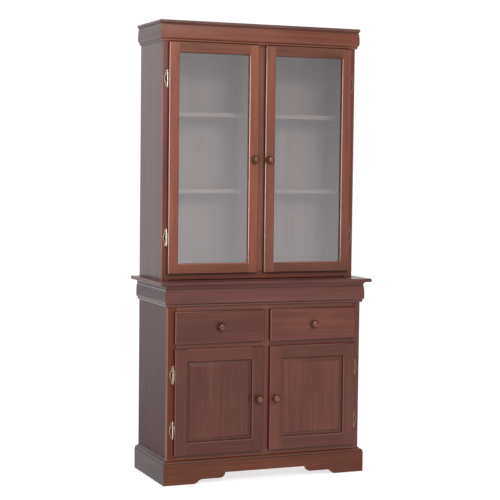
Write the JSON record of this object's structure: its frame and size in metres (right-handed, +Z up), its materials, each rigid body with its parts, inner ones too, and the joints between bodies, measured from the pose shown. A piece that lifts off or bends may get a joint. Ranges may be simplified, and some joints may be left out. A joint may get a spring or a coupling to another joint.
{
  "type": "dresser with hutch",
  "caption": "Stained wooden dresser: a panelled cupboard base with drawers on a bracket plinth, carrying a glazed display hutch with shelves and a moulded cornice.",
  "frame": {"origin": "middle of the whole piece's plan, on the floor", "axes": "+X to the right seen from the front, +Y to the back, +Z up"},
  "size_m": [1, 0.441, 2],
  "materials": {
    "carcass_wood": "satin red-brown stain",
    "front_wood": "satin red-brown stain",
    "turned_wood": "glossy red-brown stain",
    "drawer_wood": "bare pale wood",
    "back_board": "matt stained board",
    "brass": "polished",
    "glass": "clear",
    "catch_plastic": "matt brown"
  },
  "bodies": {
    "carcass": {"base_side_left": "carcass_wood", "base_side_right": "carcass_wood", "base_stile_left": "carcass_wood", "base_stile_right": "carcass_wood", "base_bottom": "carcass_wood", "back_panels": "back_board", "base_shelf": "carcass_wood", "base_stile_middle": "carcass_wood", "base_rail_top": "carcass_wood", "base_rail_bottom": "carcass_wood", "base_rail_middle": "carcass_wood", "frieze_front": "carcass_wood", "frieze_sides": "carcass_wood", "cornice_front": "carcass_wood", "cornice_sides": "carcass_wood", "plinth_front": "carcass_wood", "plinth_sides": "carcass_wood", "worktop": "carcass_wood", "crown_board": "carcass_wood", "hutch_side_left": "carcass_wood", "hutch_side_right": "carcass_wood", "hutch_stile_left": "carcass_wood", "hutch_stile_right": "carcass_wood", "hutch_bottom": "carcass_wood", "hutch_top": "carcass_wood", "hutch_partition": "carcass_wood", "hutch_stile_middle": "carcass_wood", "hutch_rail_top": "carcass_wood", "hutch_rail_bottom": "carcass_wood", "hutch_shelves": "carcass_wood", "shelf_pegs": "brass", "drawer_divider": "drawer_wood", "drawer_runners": "drawer_wood", "hinge_frame_leaves": "brass", "hinge_pins": "brass", "door_catches": "catch_plastic"},
    "base_door_left": {"base_door_left_frame": "front_wood", "base_door_left_panel": "front_wood", "base_door_left_knob": "turned_wood", "base_door_left_hinge_leaves": "brass"},
    "hutch_door_left": {"hutch_door_left_frame": "front_wood", "hutch_door_left_glass": "glass", "hutch_door_left_beads": "front_wood", "hutch_door_left_knob": "turned_wood", "hutch_door_left_hinge_leaves": "brass"},
    "drawer_left": {"drawer_left_front": "front_wood", "drawer_left_box": "drawer_wood", "drawer_left_knob": "turned_wood"},
    "base_door_right": {"base_door_right_frame": "front_wood", "base_door_right_panel": "front_wood", "base_door_right_knob": "turned_wood", "base_door_right_hinge_leaves": "brass"},
    "hutch_door_right": {"hutch_door_right_frame": "front_wood", "hutch_door_right_glass": "glass", "hutch_door_right_beads": "front_wood", "hutch_door_right_knob": "turned_wood", "hutch_door_right_hinge_leaves": "brass"},
    "drawer_right": {"drawer_right_front": "front_wood", "drawer_right_box": "drawer_wood", "drawer_right_knob": "turned_wood"}
  },
  "joints": [
    {"name": "base_door_left_hinge", "type": "hinge", "parent": "carcass", "child": "base_door_left", "pos_m": [-0.4318, -0.1763, 0.357], "axis": [0, 0, -1], "range_deg": [0, 105]},
    {"name": "hutch_door_left_hinge", "type": "hinge", "parent": "carcass", "child": "hutch_door_left", "pos_m": [-0.4373, -0.0883, 1.4065], "axis": [0, 0, -1], "range_deg": [0, 105]},
    {"name": "drawer_left_slide", "type": "slide", "parent": "carcass", "child": "drawer_left", "axis": [0, -1, 0], "range_m": [0, 0.25]},
    {"name": "base_door_right_hinge", "type": "hinge", "parent": "carcass", "child": "base_door_right", "pos_m": [0.4318, -0.1763, 0.357], "axis": [0, 0, 1], "range_deg": [0, 105]},
    {"name": "hutch_door_right_hinge", "type": "hinge", "parent": "carcass", "child": "hutch_door_right", "pos_m": [0.4373, -0.0883, 1.4065], "axis": [0, 0, 1], "range_deg": [0, 105]},
    {"name": "drawer_right_slide", "type": "slide", "parent": "carcass", "child": "drawer_right", "axis": [0, -1, 0], "range_m": [0, 0.25]}
  ]
}
